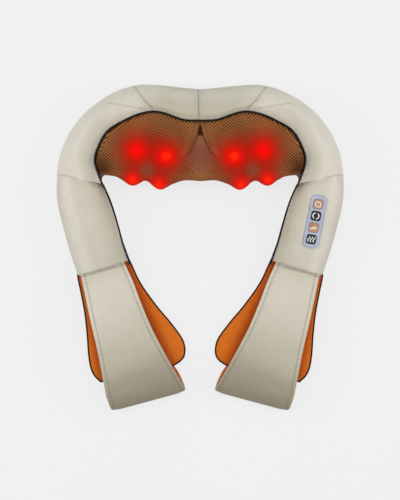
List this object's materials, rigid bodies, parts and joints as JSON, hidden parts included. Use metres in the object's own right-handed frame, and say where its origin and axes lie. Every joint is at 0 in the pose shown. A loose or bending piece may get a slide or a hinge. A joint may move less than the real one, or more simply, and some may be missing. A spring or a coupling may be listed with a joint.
{
  "type": "shiatsu neck massager",
  "caption": "U-shaped padded neck and shoulder massager with heated kneading nodes under a mesh cover, folding arms, hand straps and a push-button panel.",
  "frame": {"origin": "centre of the bounding box in plan, on the table the massager lies on with its back down", "axes": "+X across to the arm with the control panel, +Y from the hand straps to the top of the U, +Z from the back towards the neck side"},
  "size_m": [0.374, 0.4216, 0.097],
  "materials": {
    "leather": "smooth beige imitation leather",
    "mesh": "brown open mesh cloth",
    "cord": "black piping",
    "lining": "orange short-pile cloth",
    "foam": "soft foam",
    "shell": "moulded, matt",
    "steel": "plain",
    "brass": "machined",
    "white_plastic": "moulded, natural",
    "red_plastic": "translucent red",
    "board": "circuit board",
    "lavender": "satin",
    "copper": "satin copper paint",
    "black": "gloss"
  },
  "bodies": {
    "core": {"leather_core_cover": "leather", "mesh_cover": "mesh", "core_piping": "cord", "rim_foam": "foam", "rear_foam_pad": "foam", "core_rear_shell": "shell", "core_front_shell": "shell", "housing_screw_left_low": "steel", "housing_screw_left_high": "steel", "housing_screw_right_low": "steel", "housing_screw_right_high": "steel", "motor": "steel", "gear_bracket_left": "steel", "gear_bracket_right": "steel", "lamp_board_left": "board", "lamp_board_right": "board", "control_board": "board", "dc_inlet": "black"},
    "drive_shaft": {"motor_shaft": "steel", "worm_left": "brass", "worm_right": "brass"},
    "upper_rotor_left": {"upper_wheel_left": "white_plastic", "upper_spindle_left": "steel", "upper_carrier_left": "white_plastic", "upper_node_inner_left": "red_plastic", "upper_node_outer_left": "red_plastic"},
    "lower_rotor_left": {"lower_wheel_left": "white_plastic", "lower_spindle_left": "steel", "lower_carrier_left": "white_plastic", "lower_node_inner_left": "red_plastic", "lower_node_outer_left": "red_plastic"},
    "arm_left": {"arm_sleeve_left": "leather", "arm_foam_left": "foam", "arm_piping_left": "cord"},
    "flap_left": {"orange_flap_left": "lining", "flap_piping_left": "cord", "hand_strap_left": "leather"},
    "upper_rotor_right": {"upper_wheel_right": "white_plastic", "upper_spindle_right": "steel", "upper_carrier_right": "white_plastic", "upper_node_inner_right": "red_plastic", "upper_node_outer_right": "red_plastic"},
    "lower_rotor_right": {"lower_wheel_right": "white_plastic", "lower_spindle_right": "steel", "lower_carrier_right": "white_plastic", "lower_node_inner_right": "red_plastic", "lower_node_outer_right": "red_plastic"},
    "arm_right": {"arm_sleeve_right": "leather", "arm_foam_right": "foam", "arm_piping_right": "cord", "panel_bezel": "lavender", "panel_board": "board"},
    "flap_right": {"orange_flap_right": "lining", "flap_piping_right": "cord", "hand_strap_right": "leather"},
    "button_power": {"button_power": "copper"},
    "button_direction": {"button_direction": "black"},
    "button_speed": {"button_speed": "copper"},
    "button_heat": {"button_heat": "black"}
  },
  "joints": [
    {"name": "upper_rotor_left_spin", "type": "hinge", "parent": "core", "child": "upper_rotor_left", "pos_m": [-0.0635, 0.122, 0.0535], "axis": [0, 0, 1], "continuous": true},
    {"name": "upper_rotor_right_spin", "type": "hinge", "parent": "core", "child": "upper_rotor_right", "pos_m": [0.0635, 0.122, 0.0535], "axis": [0, 0, 1], "continuous": true},
    {"name": "lower_rotor_left_spin", "type": "hinge", "parent": "core", "child": "lower_rotor_left", "pos_m": [-0.0685, 0.1395, 0.036], "axis": [0, 1, 0], "continuous": true},
    {"name": "lower_rotor_right_spin", "type": "hinge", "parent": "core", "child": "lower_rotor_right", "pos_m": [0.0685, 0.1395, 0.036], "axis": [0, 1, 0], "continuous": true},
    {"name": "drive_shaft_spin", "type": "hinge", "parent": "core", "child": "drive_shaft", "pos_m": [0, 0.1395, 0.0535], "axis": [1, 0, 0], "continuous": true},
    {"name": "arm_left_fold", "type": "hinge", "parent": "core", "child": "arm_left", "pos_m": [-0.15555, 0.0868, 0.0625], "axis": [-0.9878, 0.1559, 0], "range_deg": [0, 45]},
    {"name": "arm_right_fold", "type": "hinge", "parent": "core", "child": "arm_right", "pos_m": [0.15555, 0.0868, 0.0625], "axis": [-0.9878, -0.1559, 0], "range_deg": [0, 45]},
    {"name": "cuff_left_fold", "type": "hinge", "parent": "arm_left", "child": "flap_left", "pos_m": [-0.1248, -0.0272, 0.0405], "axis": [-0.9589, -0.2837, 0], "range_deg": [0, 60]},
    {"name": "cuff_right_fold", "type": "hinge", "parent": "arm_right", "child": "flap_right", "pos_m": [0.1248, -0.0272, 0.0405], "axis": [-0.9589, 0.2837, 0], "range_deg": [0, 60]},
    {"name": "button_power_press", "type": "slide", "parent": "arm_right", "child": "button_power", "axis": [0.0235, 0.1196, -0.9925], "range_m": [0, 0.0008], "stiffness_N_per_m": 400, "springref_m": -0.0006},
    {"name": "button_direction_press", "type": "slide", "parent": "arm_right", "child": "button_direction", "axis": [0.0235, 0.1196, -0.9925], "range_m": [0, 0.0008], "stiffness_N_per_m": 400, "springref_m": -0.0006},
    {"name": "button_speed_press", "type": "slide", "parent": "arm_right", "child": "button_speed", "axis": [0.0235, 0.1196, -0.9925], "range_m": [0, 0.0008], "stiffness_N_per_m": 400, "springref_m": -0.0006},
    {"name": "button_heat_press", "type": "slide", "parent": "arm_right", "child": "button_heat", "axis": [0.0235, 0.1196, -0.9925], "range_m": [0, 0.0008], "stiffness_N_per_m": 400, "springref_m": -0.0006}
  ],
  "couplings": [
    {"joint": "upper_rotor_right_spin", "follows": "upper_rotor_left_spin", "ratio": -1},
    {"joint": "lower_rotor_left_spin", "follows": "upper_rotor_left_spin", "ratio": -1},
    {"joint": "lower_rotor_right_spin", "follows": "upper_rotor_left_spin", "ratio": 1},
    {"joint": "drive_shaft_spin", "follows": "upper_rotor_left_spin", "ratio": 20}
  ]
}
